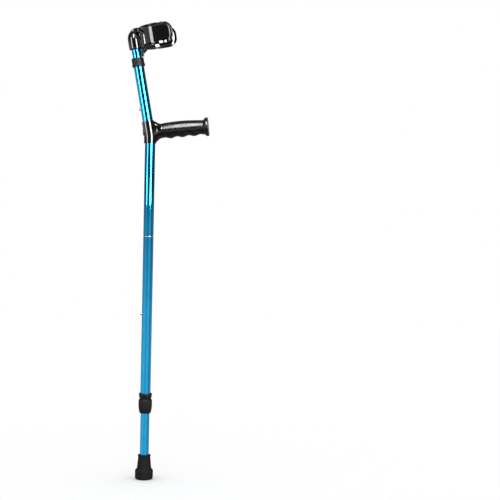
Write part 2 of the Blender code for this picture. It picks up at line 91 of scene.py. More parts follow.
camera_distance, camera_height, camera_round = 2.8, 0.642, np.radians(6.25)
yaw, pitch, roll = np.radians([-1.771, -2.890, 1.310])
camera = bpy.data.objects.new("camera", bpy.data.cameras.new("camera"))
across, back = camera_distance * np.sin(camera_round), -camera_distance * np.cos(camera_round)
camera.location = (across, back, camera_height)
aim = Euler((np.pi / 2 + pitch, 0.0, -yaw)).to_matrix() @ Matrix.Rotation(roll, 3, "Z")
camera.rotation_euler = aim.to_euler()
camera.data.lens = 93.73
camera.data.sensor_width = 36.0
scene.collection.objects.link(camera)
scene.camera = camera

world = bpy.data.worlds.new("studio")
world.use_nodes = True
scene.world = world
room = world.node_tree
room.nodes.clear()
front_middle = (0.0, 0.0, np.pi - camera_round)
ray = add(room, "TexCoord", {})["Generated"]
turned_ray = add(room, "Mapping", {"Rotation": front_middle}, {"Vector": ray})[0]
side = add(room, "SeparateXYZ", {}, {"Vector": turned_ray})
bearing = add(room, "Math", {"operation": "ARCTAN2"}, {0: side["X"], 1: side["Y"]})[0]
to_share = {"From Min": -np.pi, "From Max": np.pi, "To Min": 1.0, "To Max": 0.0}
share = add(room, "MapRange", to_share, {"Value": bearing})[0]
# How pale the walls are, by the share of a turn round the crutch.
walls = [
    (0.00, 0.30), (0.15, 0.28), (0.26, 0.10), (0.32, 0.10), (0.35, 0.55), (0.38, 0.10), (0.54, 0.10),
    (0.57, 0.75), (0.61, 0.75), (0.64, 0.10), (0.84, 0.12), (0.92, 0.28), (1.00, 0.30),
]
panels = add(room, "ValToRGB", {"stops": walls}, {"Fac": share})["Color"]
# How much of the table a reflected ray sees, by its slope, where 0.5 is level.
floor_stops = [
    (0.00, 0.0), (0.14, 0.0), (0.24, 1.0), (0.38, 1.0), (0.41, 0.85), (0.44, 0.55), (0.47, 0.45),
    (0.495, 0.0), (1.00, 0.0),
]
rise = add(room, "MapRange", {"From Min": -0.5, "From Max": 0.5}, {"Value": side["Z"]})[0]
near_floor = add(room, "ValToRGB", {"stops": floor_stops}, {"Fac": rise})["Color"]
# How pale the table is, by the share of a turn.
floor_tones = [
    (0.00, 1.0), (0.20, 0.70), (0.30, 1.0), (0.37, 1.0), (0.42, 0.78), (0.50, 0.78), (0.55, 1.0),
    (0.61, 1.0), (0.68, 0.45), (0.80, 0.70), (1.00, 1.0),
]
floor_shade = add(room, "ValToRGB", {"stops": floor_tones}, {"Fac": share})["Color"]
seen = add(room, "MixRGB", {}, {"Fac": near_floor, "Color1": panels, "Color2": floor_shade})[0]
dark_studio = add(room, "Background", {}, {"Color": seen})[0]
white_room = add(room, "Background", {"Color": (1.0, 1.0, 1.0, 1.0), "Strength": 1.05})[0]
backdrop = add(room, "Background", {"Color": (1.0, 1.0, 1.0, 1.0)})[0]
path = add(room, "LightPath", {})
lit = add(room, "MixShader", {}, {0: path["Is Glossy Ray"], 1: white_room, 2: dark_studio})[0]
shown = add(room, "MixShader", {}, {0: path["Is Camera Ray"], 1: lit, 2: backdrop})[0]
add(room, "OutputWorld", {}, {"Surface": shown})


def lightbox(name, degrees, distance, size, height_above, radiance, lean=0.0):
    """A lightbox that faces the shaft, at an angle round it from the camera's side towards +X, with its
    middle at a height, leaned forward by an angle. Its power is its radiance x pi x its area."""
    width, height = size
    turn = camera_round + np.radians(degrees)
    lamp = bpy.data.objects.new(name, bpy.data.lights.new(name, "AREA"))
    lamp.data.shape = "RECTANGLE"
    lamp.data.size, lamp.data.size_y = width, height
    lamp.data.energy = radiance * np.pi * width * height
    lamp.location = (distance * np.sin(turn), -distance * np.cos(turn), height_above)
    lamp.rotation_euler = (np.pi / 2 - np.radians(lean), 0.0, turn)
    lamp.visible_camera = False
    lamp.visible_diffuse = False
    scene.collection.objects.link(lamp)


lightbox("right_strip", 30.0, 2.0, (0.85, 1.10), 1.11, 22.0)
lightbox("left_strip", -56.0, 2.0, (0.60, 1.10), 1.11, 8.0)
lightbox("overhead_box", -12.5, 1.5, (0.60, 1.40), 2.12, 22.0, 42.0)


def smooth(made):
    """Shades a piece smooth, but for its edges sharper than 32 degrees."""
    made.data.shade_smooth()
    made.data.set_sharp_from_angle(angle=np.radians(32))


def point_outward(made):
    """Turns every face of a closed mesh to the outside."""
    shape = bmesh.new()
    shape.from_mesh(made.data)
    bmesh.ops.recalc_face_normals(shape, faces=shape.faces)
    shape.to_mesh(made.data)
    shape.free()
    smooth(made)


def surface(name, grid, ring=True, loop=False, capped=(), closed=True):
    """A mesh over a (rows, columns, 3) grid of points: ring joins each row's two ends, loop joins the last
    row to the first, and a row named in capped (0 or -1) is closed by quads from each column to its mirror
    column. The UV map is in metres: the mean step between columns, summed across, and the mean step between
    rows, summed along."""
    rows, columns = grid.shape[:2]
    row, column = np.meshgrid(
        np.arange(rows if loop else rows - 1), np.arange(columns if ring else columns - 1), indexing="ij"
    )
    row_next, column_next = (row + 1) % rows, (column + 1) % columns
    low, high = row * columns, row_next * columns
    corners = [low + column, low + column_next, high + column_next, high + column]
    faces = [np.stack(corners, axis=-1).reshape(-1, 4)]
    for end in capped:
        i = np.arange(columns // 2 - 1) + (0 if end == 0 else (rows - 1) * columns)
        mirror = columns - 1 - 2 * (i % columns) + i
        faces.append(np.stack([i, i + 1, mirror - 1, mirror], axis=-1))
    mesh = bpy.data.meshes.new(name)
    mesh.from_pydata(grid.reshape(-1, 3).tolist(), [], np.concatenate(faces).tolist())
    across = np.cumsum(np.linalg.norm(np.roll(grid, -1, axis=1) - grid, axis=2).mean(axis=0))
    along = np.cumsum(np.linalg.norm(np.roll(grid, -1, axis=0) - grid, axis=2).mean(axis=1))
    across, along = np.insert(across, 0, 0.0), np.insert(along, 0, 0.0)
    u = np.stack([across[column], across[column + 1], across[column + 1], across[column]], axis=-1)
    v = np.stack([along[row], along[row], along[row + 1], along[row + 1]], axis=-1)
    spread = np.zeros((len(mesh.loops), 2))
    spread[: u.size] = np.stack([u.reshape(-1), v.reshape(-1)], axis=-1)
    mesh.uv_layers.new(name="metres").data.foreach_set("uv", spread.ravel())
    made = bpy.data.objects.new(name, mesh)
    scene.collection.objects.link(made)
    if closed:
        point_outward(made)
    return made


def material(name, colour, metallic, roughness, **settings):
    """A Principled material in an sRGB hex colour, with its other settings by their sockets' names."""
    made = bpy.data.materials.new(name)
    made.use_nodes = True
    shader = made.node_tree.nodes["Principled BSDF"]
    values = {"Base Color": linear(colour), "Metallic": metallic, "Roughness": roughness}
    values.update({key.replace("_", " "): value for key, value in settings.items()})
    for key, value in values.items():
        shader.inputs[key].default_value = value
    return made, made.node_tree, shader.inputs


def surface_finish(made, tone, shades, wear, gloss, height, strength, depth=0.0001):
    """Gives a material its finish from three patterns: the colour goes through the (position, hex) shades
    with the tone, the roughness goes over the gloss range with the wear, and the skin is raised with the
    height. The gloss range is the first and last roughness, and the wear at each unless that is 0 and 1."""
    tree = made.node_tree
    stops = [(position, linear(shade)) for position, shade in shades]
    colour = add(tree, "ValToRGB", {"stops": stops}, {"Fac": tone})["Color"]
    gloss_range = dict(zip(("To Min", "To Max", "From Min", "From Max"), gloss))
    roughness = add(tree, "MapRange", gloss_range, {"Value": wear})[0]
    relief = add(tree, "Bump", {"Strength": strength, "Distance": depth}, {"Height": height})[0]
    shader = tree.nodes["Principled BSDF"].inputs
    for socket, source in (("Base Color", colour), ("Roughness", roughness), ("Normal", relief)):
        tree.links.new(source, shader[socket])
    return made


def fit(made, body, finish, slot, *nodes):
    """Gives a piece its finish, puts it on its body, and hides the frame nodes that it stands for."""
    made.data.materials.clear()
    made.data.materials.append(finish)
    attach(made, body)
    if nodes:
        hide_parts(*nodes)
    return made


table_reach = 3.4
across = np.linspace(-table_reach, table_reach, 13)
table_points = np.stack([*np.meshgrid(across, across, indexing="xy"), np.zeros((13, 13))], axis=-1)
table = surface("table", table_points, ring=False, closed=False)
white_laminate, _, _ = material("white_laminate", "#FAFAFA", 0.0, 0.8, Specular_IOR_Level=0.0)
table.data.materials.append(white_laminate)
table.visible_glossy = False

# ---- Shaft tubes ---------------------------------------------------------------------------------
# Four drawn aluminium tubes, dyed blue and sealed. The upper one is bent back above the grip, the main one
# has ten height holes down its back, and the leg and the cuff tube slide inside them.

SEAM_Z, BEND_Z, BEND_RADIUS, TILT = 0.5260, 0.7400, 0.0700, np.radians(10.5)
GRIP_Z, GRIP_TILT = 0.7490, np.radians(6.3)
TUBE, BORE, INNER, INNER_BORE = 0.0110, 0.0099, 0.0096, 0.0085
MAIN_FOOT, UPPER_MOUTH = 0.1523, 0.1600
LEG_FOOT, LEG_TOP, CUFF_TUBE_FOOT, CUFF_TUBE_TOP = 0.0068, 0.3950, 0.0420, 0.2180
HOLE, PITCH, LOWEST_HOLE = 0.0032, 0.0254, 0.2060
CUFF_BUTTON, LEG_BUTTON = 0.0594, LOWEST_HOLE + 6 * PITCH
CUFF_SCREW, BOLT_WAY, SCREW_WAY = 0.2070, 0.0033, 0.0028
BACK_WALL, INNER_BACK_WALL, INNER_FRONT_WALL = (-0.014, -0.007), (-0.012, -0.006), (0.006, 0.012)

# The frames of the pieces: the shaft's own, the forearm's above the bend, and the grip's.
UPRIGHT = Matrix.Identity(4)
FOREARM = Matrix.Translation((0.0, 0.0, BEND_Z)) @ Matrix.Rotation(-TILT, 4, "Y")
GRIP = Matrix.Translation((0.0, 0.0, GRIP_Z)) @ Matrix.Rotation(-GRIP_TILT, 4, "Y")


def carried(points, place):
    """Points moved from a piece's own frame into the crutch's: turned, then shifted."""
    return points @ np.array(place.to_3x3()).T + np.array(place.translation)


def shaft_line(low_z, high, steps=24):
    """Centres and tilts along the bent shaft: straight, an arc of BEND_RADIUS through TILT, straight."""
    reach = BEND_RADIUS * np.tan(TILT / 2)
    arc = np.linspace(0.0, TILT, 17)
    bend_x, bend_z = BEND_RADIUS * (np.cos(arc) - 1), BEND_Z - reach + BEND_RADIUS * np.sin(arc)
    bend = np.stack([bend_x, 0 * arc, bend_z], axis=-1)
    rise = np.linspace(low_z, BEND_Z - reach, steps, endpoint=False)
    below = np.stack([0 * rise, 0 * rise, rise], axis=-1)
    beyond = np.linspace(reach, high, steps + 1)[1:, None] * np.array([-np.sin(TILT), 0.0, np.cos(TILT)])
    tilts = np.concatenate([np.zeros(steps), arc, np.full(steps, TILT)])
    return np.concatenate([below, bend, beyond + np.array([0.0, 0.0, BEND_Z])]), tilts


def straight_line(low, high, place=UPRIGHT, steps=24):
    """Centres and tilts along the Z axis of a frame, between two heights."""
    rise = np.linspace(low, high, steps)
    tilt = np.arctan2(-place.col[2].x, place.col[2].z)
    return carried(np.stack([0 * rise, 0 * rise, rise], axis=-1), place), np.full(steps, tilt)


def swept(section, centres, tilts):
    """A (forward, left) section carried along the shaft, square to it: centre + x forward + y left."""
    forward = np.stack([np.cos(tilts), 0 * tilts, np.sin(tilts)], axis=-1)
    left = np.array([0.0, 1.0, 0.0])
    return centres[:, None] + section[..., :1] * forward[:, None] + section[..., 1:] * left


def arc_of(radius, first, last, count, endpoint=True):
    """Points of an arc about the shaft, forward at angle 0."""
    angle = np.linspace(first, last, count, endpoint=endpoint)
    return radius * np.stack([np.cos(angle), np.sin(angle)], axis=-1)


def eased_line(centres, tilts, edge):
    """A line with one more station an edge's width in from each end, and how far each station's ring is cut
    back: by the edge's width at both ends, and by nothing between them."""
    near, far = (a + (b - a) * edge / np.linalg.norm(b - a) for a, b in (centres[:2], centres[:-3:-1]))
    centres = np.concatenate([centres[:1], [near], centres[1:-1], [far], centres[-1:]])
    tilts = np.concatenate([tilts[:1], tilts, tilts[-1:]])
    cut_back = np.zeros((len(centres), 1, 1))
    cut_back[[0, -1]] = edge
    return centres, tilts, cut_back


def tube(name, radius, bore, line, sides=96, edge=0.0003):
    """A tube on a line: a circle of the radius outside, one of the bore inside, and its edges broken."""
    centres, tilts, broken = eased_line(*line, edge)
    circle = arc_of(1.0, 0.0, 2 * np.pi, sides, endpoint=False)
    outside = swept(circle * (radius - broken), centres, tilts)
    inside = swept(circle * (bore + broken), centres, tilts)
    return surface(name, np.concatenate([outside, inside[::-1]]), loop=True)


def carve(made, cutter):
    """Cuts one closed piece from another, and keeps the result as the piece's own mesh."""
    cut = made.modifiers.new("cut", "BOOLEAN")
    cut.operation = "DIFFERENCE"
    cut.object = cutter
    graph = bpy.context.evaluated_depsgraph_get()
    result = made.evaluated_get(graph)
    mesh = bpy.data.meshes.new_from_object(result, preserve_all_data_layers=True, depsgraph=graph)
    made.modifiers.clear()
    made.data = mesh
    bpy.data.objects.remove(cutter)
    smooth(made)


def drill(made, radius, start, end, heights, place=UPRIGHT, sides=40):
    """Cuts a row of round holes along a frame's X axis."""
    for height in heights:
        circle = arc_of(radius, 0.03, 2 * np.pi + 0.03, sides, endpoint=False)
        ends = [np.insert(circle + [0.0, height], 0, x, axis=1) for x in (start, end)]
        carve(made, surface("drill", carried(np.array(ends), place), capped=(0, -1)))


def anodised():
    """Etched tube, dyed blue and sealed: a clear deep-blue metal under a hard bright skin. Draw lines 0.4 mm
    apart run along it, drawn that coarse to show, and a handling haze of 30 mm patches dulls it a little."""
    skin = {"Coat_Weight": 0.5, "Coat_Roughness": 0.02, "Specular_Tint": linear("#0C86C0")}
    made, tree, _ = material("anodised_aluminium_blue", "#00A0DC", 1.0, 0.05, **skin)
    metres = add(tree, "UVMap", {"uv_map": "metres"})[0]
    lines_at = add(tree, "Mapping", {"Scale": (2500.0, 12.0, 1.0)}, {"Vector": metres})[0]
    draw_noise = {"Scale": 1.0, "Detail": 3.0, "Roughness": 0.6}
    lines = add(tree, "TexNoise", draw_noise, {"Vector": lines_at})["Fac"]
    place = add(tree, "TexCoord", {})["Object"]
    haze = add(tree, "TexNoise", {"Scale": 33.0, "Detail": 2.0}, {"Vector": place})["Fac"]
    dull = add(tree, "Math", {"operation": "MULTIPLY"}, {0: lines, 1: haze})[0]
    dye = [(0.30, "#009BD2"), (0.70, "#00A9E0")]
    return surface_finish(made, haze, dye, dull, (0.03, 0.05, 0.15, 0.40), lines, 0.002)


blue = anodised()
upper = tube("bent_upper_tube", TUBE, BORE, shaft_line(SEAM_Z + 0.0003, UPPER_MOUTH))
drill(upper, HOLE, *BACK_WALL, CUFF_BUTTON + PITCH * np.arange(4), FOREARM)
drill(upper, BOLT_WAY, -0.016, 0.016, [0.0], GRIP)
fit(upper, "upper_section", blue, "blue_tube", "upper_tube")

main = tube("main_tube", TUBE, BORE, straight_line(MAIN_FOOT, SEAM_Z - 0.0010))
drill(main, HOLE, *BACK_WALL, LOWEST_HOLE + PITCH * np.arange(10))
fit(main, "lower_section", blue, "blue_tube", "lower_tube")

leg = tube("sliding_leg_tube", INNER, INNER_BORE, straight_line(LEG_FOOT, LEG_TOP))
drill(leg, HOLE, *INNER_BACK_WALL, [LEG_BUTTON])
fit(leg, "leg", blue, "blue_tube", "leg_tube")

cuff_line = straight_line(CUFF_TUBE_FOOT, CUFF_TUBE_TOP, FOREARM)
cuff_tube = tube("sliding_cuff_tube", INNER, INNER_BORE, cuff_line)
drill(cuff_tube, HOLE, *INNER_BACK_WALL, [CUFF_BUTTON], FOREARM)
drill(cuff_tube, SCREW_WAY, *INNER_FRONT_WALL, [CUFF_SCREW], FOREARM)
fit(cuff_tube, "cuff_section", blue, "blue_tube", "cuff_tube")

# ---- Guide ring ----------------------------------------------------------------------------------
# A moulded polypropylene ring pressed over the upper tube's mouth. The cuff tube slides through its lip,
# which keeps it from rattling.


def rounded(corners, closed, steps=6):
    """An outline with its corners rounded. A corner is (x, y, reach): the curve (1-t)^2 a + 2t(1-t) corner +
    t^2 b replaces it, where a and b are that reach before and after it."""
    corners = np.array(corners, float)
    point, reach = corners[:, :2], corners[:, 2:]
    before, after = np.roll(point, 1, axis=0) - point, np.roll(point, -1, axis=0) - point
    before /= np.linalg.norm(before, axis=1, keepdims=True)
    after /= np.linalg.norm(after, axis=1, keepdims=True)
    t = np.linspace(0.0, 1.0, steps)[None, :, None]
    start, end = (point + before * reach)[:, None], (point + after * reach)[:, None]
    curve = ((1 - t) ** 2 * start + 2 * t * (1 - t) * point[:, None] + t**2 * end).reshape(-1, 2)
    if not closed:
        curve = np.concatenate([point[:1], curve[steps:-steps], point[-1:]])
    first = curve[-1:] if closed else curve[:1] + 1.0
    return curve[np.linalg.norm(np.diff(curve, axis=0, prepend=first), axis=1) > 1e-7]


def turned(name, corners, closed=True, place=UPRIGHT, along_x=False, sides=96, shape=None):
    """A body of revolution from an outline of (radius r, height h, corner's reach): the point (r cos a, r sin
    a, h) at each angle a, or with h along X. shape(radius, height, angle) may change the radius."""
    outline = rounded(corners, closed)
    angle = np.arange(sides) * 2 * np.pi / sides
    radius, height = outline[:, :1] + 0 * angle, outline[:, 1:] + 0 * angle
    if shape:
        radius = shape(radius, height, angle)
    axes = [height, radius * np.cos(angle), radius * np.sin(angle)]
    grid = np.stack(axes if along_x else axes[1:] + axes[:1], axis=-1)
    return surface(name, carried(grid, place), loop=closed, capped=() if closed else (0, -1))


def matt_polypropylene():
    """Moulded polypropylene from a spark-eroded tool: soft black with a 0.5 mm pebble grain that breaks up
    its reflections, and a grey bloom where it is handled."""
    made, tree, _ = material("matt_polypropylene", "#0F0F10", 0.0, 0.5, Specular_IOR_Level=0.25)
    place = add(tree, "TexCoord", {})["Object"]
    grain = add(tree, "TexVoronoi", {"Scale": 2000.0}, {"Vector": place})["Distance"]
    bloom = add(tree, "TexNoise", {"Scale": 90.0, "Detail": 5.0}, {"Vector": place})["Fac"]
    shades = [(0.35, "#0C0C0D"), (0.75, "#1A1A1C")]
    return surface_finish(made, bloom, shades, bloom, (0.36, 0.60), grain, 0.35)


black_polypropylene = matt_polypropylene()
ring_outline = [
    (0.0134, 0.1490, 0.0005), (0.0138, 0.1515, 0.0008), (0.0137, 0.1545, 0.0006), (0.0131, 0.1552, 0.0004),
    (0.0131, 0.1655, 0.0010), (0.0122, 0.1680, 0.0006), (0.0099, 0.1680, 0.0002), (0.0099, 0.1603, 0.0),
    (0.0113, 0.1603, 0.0), (0.0113, 0.1490, 0.0002),
]
guide_ring = turned("guide_ring", ring_outline, place=FOREARM)
fit(guide_ring, "upper_section", black_polypropylene, "matt_black", "upper_collar")

# ---- Spring buttons ------------------------------------------------------------------------------
# A strip of spring steel bent into a loop inside each sliding tube, nickel plated, with a domed button
# pressed out through the holes. The strip turns round beyond the button and comes back along the far wall.


def nickel():
    """Bright nickel on steel: a warm white metal with a soft polish, fine random scratches 0.3 mm apart, and
    a faint tarnish in 6 mm clouds."""
    made, tree, _ = material("nickel_plated_steel", "#DCD8CE", 1.0, 0.18)
    place = add(tree, "TexCoord", {})["Object"]
    scratched = add(tree, "Mapping", {"Scale": (400.0, 3300.0, 3300.0)}, {"Vector": place})[0]
    scratches = add(tree, "TexNoise", {"Scale": 1.0, "Detail": 3.0}, {"Vector": scratched})["Fac"]
    tarnish = add(tree, "TexNoise", {"Scale": 160.0, "Detail": 4.0}, {"Vector": place})["Fac"]
    shades = [(0.35, "#C9C4B8"), (0.70, "#E6E3DB")]
    return surface_finish(made, tarnish, shades, scratches, (0.12, 0.30), scratches, 0.06)


def joined(name, *shells):
    """Closed shells brought together as one piece."""
    shape = bmesh.new()
    for shell in shells:
        shape.from_mesh(shell.data)
        bpy.data.objects.remove(shell)
    mesh = bpy.data.meshes.new(name)
    shape.to_mesh(mesh)
    shape.free()
    made = bpy.data.objects.new(name, mesh)
    scene.collection.objects.link(made)
    smooth(made)
    return made


def spring_button(name, height, way, place):
    """The strip's section (0.8 mm by 6 mm, rounded) follows a line up one wall, half round an arc of the
    wall's radius and back down the other. The button is a turned dome on its start."""
    reach, length = 0.0071, 0.0220
    turn = np.linspace(0.0, np.pi, 25)
    bend = height + way * length
    x = np.concatenate([[-reach], -reach * np.cos(turn), [reach]])
    z = np.concatenate([[height - way * 0.0045], bend + way * reach * np.sin(turn), [height]])
    out_x = np.concatenate([[-1.0], -np.cos(turn), [1.0]])
    out_z = np.concatenate([[0.0], way * np.sin(turn), [0.0]])
    thick, wide, corner = 0.0004, 0.0030, 0.0002
    corners = [(-thick, -wide, corner), (thick, -wide, corner), (thick, wide, corner), (-thick, wide, corner)]
    section = rounded(corners, True, 4)
    strip_x = x[:, None] + out_x[:, None] * section[:, 0]
    strip_z = z[:, None] + out_z[:, None] * section[:, 0]
    grid = np.stack([strip_x, 0 * strip_x + section[:, 1], strip_z], axis=-1)
    strip = surface("strip", carried(grid, place), capped=(0, -1))
    dome = [(0.0029, -reach, 0.0), (0.0029, -0.0140, 0.0014), (0.0001, -0.0140, 0.0)]
    button = turned("dome", dome, False, place @ Matrix.Translation((0.0, 0.0, height)), True, 48)
    return joined(name, strip, button)


plated = nickel()
buttons = (
    ("upper_spring_button", "upper_button", "cuff_section", "upper_snap_clip", CUFF_BUTTON, 1, FOREARM),
    ("lower_spring_button", "lower_button", "leg", "lower_snap_clip", LEG_BUTTON, -1, UPRIGHT),
)
for name, body, holder, node, height, way, place in buttons:
    button = spring_button(name, height, way, place)
    button.data.materials.append(plated)
    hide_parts(node)
    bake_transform(button)
for node in ("clamp_nut", "cuff_nut", "upper_anchor_pin", "lower_anchor_pin", "ferrule_washer"):
    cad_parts[node].material_slots[0].material = plated

# ---- Fold joint ----------------------------------------------------------------------------------
# A turned aluminium nose pressed into the main tube's top, with a thin bright flange between the two tubes. A
# braided elastic cord runs through it, tied to a steel pin in each tube, and lets the crutch fold.


def turned_aluminium():
    """Bare aluminium off the lathe: a pale cool metal with 0.25 mm tool marks round it, a little smeared."""
    made, tree, _ = material("turned_aluminium", "#DADDDF", 1.0, 0.22)
    place = add(tree, "TexCoord", {})["Object"]
    marks_at = add(tree, "Mapping", {"Scale": (40.0, 40.0, 4000.0)}, {"Vector": place})[0]
    marks = add(tree, "TexNoise", {"Scale": 1.0, "Detail": 2.0}, {"Vector": marks_at})["Fac"]
    shades = [(0.3, "#C8CCCF"), (0.7, "#E6E8E9")]
    return surface_finish(made, marks, shades, marks, (0.32, 0.50), marks, 0.12)


def braid():
    """Round elastic cord in a woven polyester sleeve: black strands 0.6 mm wide cross on the slant both ways,
    with a painted highlight on the top of each and painted shade in the grooves between them."""
    nap = {"Sheen_Weight": 0.25, "Sheen_Roughness": 0.4}
    made, tree, shader = material("braided_elastic", "#17181A", 0.0, 0.7, **nap)
    metres = add(tree, "UVMap", {"uv_map": "metres"})[0]
    slant = []
    for angle in (0.9, -0.9):
        turned_to = {"Rotation": (0.0, 0.0, angle), "Scale": (260.0, 260.0, 1.0)}
        strand_at = add(tree, "Mapping", turned_to, {"Vector": metres})[0]
        strand = {"Scale": 1.0, "Distortion": 0.4, "Detail": 1.0}
        slant.append(add(tree, "TexWave", strand, {"Vector": strand_at})["Fac"])
    weave_and_painted_highlight = add(tree, "Math", {"operation": "MAXIMUM"}, {0: slant[0], 1: slant[1]})[0]
    # The weave's height drives both the bump and the colour: the colour is a painted highlight on the
    # strands' tops and painted shade between them.
    shades = [(0.3, linear("#0C0C0D")), (0.9, linear("#34363A"))]
    colour = add(tree, "ValToRGB", {"stops": shades}, {"Fac": weave_and_painted_highlight})["Color"]
    relief = add(tree, "Bump", {"Strength": 0.8, "Distance": 0.0003}, {"Height": weave_and_painted_highlight})[0]
    tree.links.new(colour, shader["Base Color"])
    tree.links.new(relief, shader["Normal"])
    return made


# The nose above its flange is a parabola, blunt at the tip, where the elastic comes out.
rise = np.linspace(0.0, 0.0176, 15)
nose_outline = [
    (0.0033, -0.0205, 0.0), (0.0088, -0.0205, 0.0003), (0.0095, -0.0195, 0.0003), (0.0095, -0.0008, 0.0),
    (0.0101, -0.0008, 0.0002), (0.0101, 0.0, 0.0002), *zip(0.0097 - rise**2 / 0.0630, rise, 0 * rise),
    (0.0044, 0.0180, 0.0), (0.0039, 0.0178, 0.0), (0.0033, 0.0160, 0.0),
]
nose = turned("seating_nose", nose_outline, place=Matrix.Translation((0.0, 0.0, SEAM_Z)))
fit(nose, "lower_section", turned_aluminium(), "bright_aluminium", "joint_nose")

# The few millimetres at the seam, which open into the bend when the crutch folds, have the closest rings. The
# foot of the elastic runs on past its pin, so that it still reaches the pin when the tubes are drawn apart.
ELASTIC_RADIUS, ELASTIC_LOW, ELASTIC_HIGH, TURN_HALF = 0.0024, 0.4790, 0.5702, 0.0020
stations = np.concatenate([
    np.linspace(ELASTIC_LOW, SEAM_Z - TURN_HALF, 24, endpoint=False),
    np.linspace(SEAM_Z - TURN_HALF, SEAM_Z + TURN_HALF, 73),
    np.linspace(SEAM_Z + TURN_HALF, ELASTIC_HIGH, 25)[1:],
])
line = np.stack([0 * stations, 0 * stations, stations], axis=-1)
cord_grid = swept(arc_of(ELASTIC_RADIUS, 0.0, 2 * np.pi, 32, endpoint=False)[None], line, 0 * stations)
elastic = surface("elastic_cord", cord_grid, capped=(0, -1))
elastic.data.materials.append(braid())
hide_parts("cord_upper_half", "cord_lower_half")
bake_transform(elastic)

# ---- Height lock ---------------------------------------------------------------------------------
# A slotted collet on the main tube's foot and a ribbed nut that squeezes it on the leg, both moulded in matt
# black polypropylene. The nut screws up the collet, and its ribs are for the fingers.


def box_cutter(low, high):
    """A block between two corners, as a closed grid: a rectangle at the low x and one at the high x."""
    (x0, y0, z0), (x1, y1, z1) = low, high
    rectangle = [(y0, z0), (y1, z0), (y1, z1), (y0, z1)]
    return surface("block", np.array([[(x, y, z) for y, z in rectangle] for x in (x0, x1)]), capped=(0, -1))


collet_outline = [
    (0.0113, 0.1870, 0.0002), (0.0134, 0.1870, 0.0006), (0.0142, 0.1853, 0.0006), (0.0140, 0.1815, 0.0010),
    (0.0128, 0.1765, 0.0010), (0.0124, 0.1745, 0.0004), (0.0124, 0.1530, 0.0010), (0.0112, 0.1492, 0.0004),
    (0.0099, 0.1492, 0.0002), (0.0099, 0.1520, 0.0), (0.0113, 0.1520, 0.0),
]
collet = turned("slotted_collet", collet_outline)
carve(collet, box_cutter((-0.0006, -0.02, 0.1450), (0.0006, 0.02, 0.1640)))
carve(collet, box_cutter((-0.02, -0.0006, 0.1450), (0.02, 0.0006, 0.1640)))
fit(collet, "lower_section", black_polypropylene, "matt_black", "collet")


def ribbed(radius, height, angle):
    """24 rounded ribs: the radius dips by up to 0.7 mm between them, and by nothing at the nut's ends."""
    dip = (0.5 - 0.5 * np.cos(24 * angle)) ** 2
    fade = np.clip((height - 0.1460) / 0.003, 0, 1) * np.clip((0.1722 - height) / 0.001, 0, 1)
    return radius - 0.0007 * dip * fade * (radius > 0.0131)


nut_height = np.linspace(0.1500, 0.1700, 9)
nut_radius = np.interp(nut_height, [0.1470, 0.1545, 0.1625, 0.1705], [0.0130, 0.0143, 0.0148, 0.0146])
nut_outline = [
    (0.0136, 0.1735, 0.0004), (0.0146, 0.1718, 0.0006),
    *zip(nut_radius[::-1], nut_height[::-1], 0 * nut_height), (0.0129, 0.1468, 0.0008),
    (0.0117, 0.1435, 0.0006), (0.0102, 0.1435, 0.0002), (0.0102, 0.1455, 0.0),
    (0.0129, 0.1495, 0.0), (0.0129, 0.1735, 0.0002),
]
lock_nut = turned("ribbed_lock_nut", nut_outline, sides=288, shape=ribbed)
fit(lock_nut, "lock_nut", black_polypropylene, "matt_black", "lower_lock_nut")

# ---- Ferrule -------------------------------------------------------------------------------------
# A moulded rubber foot pushed on the leg, with a steel washer in its floor. It has a ribbed bell, a groove
# round its pad and two treads under it.


def rubber():
    """Moulded natural rubber: dull black with a talc bloom in the hollows, a 0.4 mm grain, and paler scuffs
    low down where it meets the floor."""
    made, tree, _ = material("moulded_rubber", "#0E0E0E", 0.0, 0.72, Specular_IOR_Level=0.18)
    place = add(tree, "TexCoord", {})["Object"]
    grain = add(tree, "TexNoise", {"Scale": 2500.0, "Detail": 2.0}, {"Vector": place})["Fac"]
    talc = {"Scale": 120.0, "Detail": 6.0, "Roughness": 0.65}
    bloom = add(tree, "TexNoise", talc, {"Vector": place})["Fac"]
    height = add(tree, "SeparateXYZ", {}, {"Vector": place})["Z"]
    near_floor = {"From Min": 0.0, "From Max": 0.008, "To Min": 0.18, "To Max": 0.0}
    low = add(tree, "MapRange", near_floor, {"Value": height})[0]
    scuffed = add(tree, "Math", {"operation": "ADD"}, {0: bloom, 1: low})[0]
    shades = [(0.35, "#090909"), (0.60, "#131313"), (0.85, "#2C2C2A")]
    return surface_finish(made, scuffed, shades, bloom, (0.58, 0.86), grain, 0.4)


def foot_ribs(radius, height, angle):
    """16 shallow flutes up the bell, 0.5 mm deep, that fade out at its top and bottom."""
    fade = np.clip((height - 0.0235) / 0.004, 0, 1) * np.clip((0.0460 - height) / 0.006, 0, 1)
    return radius - 0.0005 * (0.5 - 0.5 * np.cos(16 * angle)) * fade * (radius > 0.0105)


bell = np.linspace(0.0228, 0.0488, 16)
bell_radius = np.interp(bell, [0.0228, 0.0310, 0.0450, 0.0488], [0.0157, 0.0148, 0.0135, 0.0130])
foot_outline = [
    (0.0001, 0.0050, 0.0), (0.0099, 0.0050, 0.0003), (0.0099, 0.0530, 0.0003), (0.0132, 0.0530, 0.0004),
    (0.0138, 0.0524, 0.0004), (0.0138, 0.0499, 0.0003), *zip(bell_radius[::-1], bell[::-1], 0 * bell),
    (0.0183, 0.0213, 0.0014), (0.0195, 0.0183, 0.0014), (0.0195, 0.0121, 0.0004), (0.0187, 0.0110, 0.0004),
    (0.0195, 0.0099, 0.0004), (0.0195, 0.0045, 0.0018), (0.0186, 0.0014, 0.0008), (0.0170, 0.0, 0.0006),
    (0.0150, 0.0, 0.0003), (0.0146, 0.0012, 0.0003), (0.0122, 0.0012, 0.0003), (0.0118, 0.0, 0.0003),
    (0.0098, 0.0, 0.0003), (0.0094, 0.0012, 0.0003), (0.0070, 0.0012, 0.0003), (0.0066, 0.0, 0.0003),
    (0.0001, 0.0, 0.0),
]
